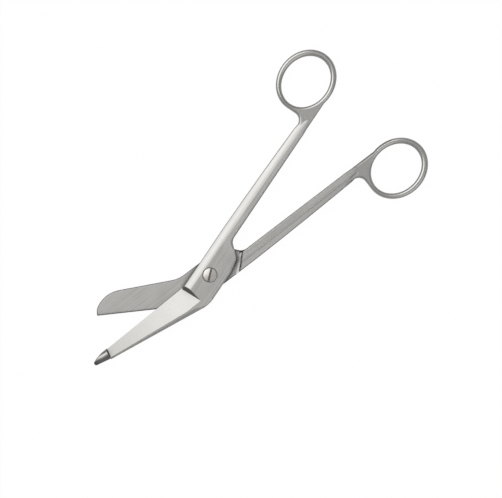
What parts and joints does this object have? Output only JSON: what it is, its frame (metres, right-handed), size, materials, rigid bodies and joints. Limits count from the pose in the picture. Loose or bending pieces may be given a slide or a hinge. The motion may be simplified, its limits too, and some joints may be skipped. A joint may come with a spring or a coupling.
{
  "type": "bandage scissors",
  "caption": "Angled bandage scissors with oval finger rings, slotted pivot screw, probe-tipped long blade and blunt round-ended blade, lying open.",
  "frame": {"origin": "where the pivot axis meets the plane that the scissors lie on, the flat underside of the back half's boss", "axes": "+Z along the pivot, out of the screw head; +X along the middle line of the open handles, towards the finger rings; +Y towards the front half's ring"},
  "size_m": [0.1844, 0.0879, 0.0063],
  "materials": {
    "front_steel": "satin ground stainless steel, probe end polished",
    "back_steel": "satin ground stainless steel",
    "screw_steel": "turned and polished stainless steel"
  },
  "bodies": {
    "back": {"back_half": "back_steel", "pivot_screw": "screw_steel"},
    "front": {"front_half": "front_steel"}
  },
  "joints": [
    {"name": "pivot", "type": "hinge", "parent": "back", "child": "front", "pos_m": [0, 0, 0.0031], "axis": [0, 0, 1], "range_deg": [-18.6, 80]}
  ]
}
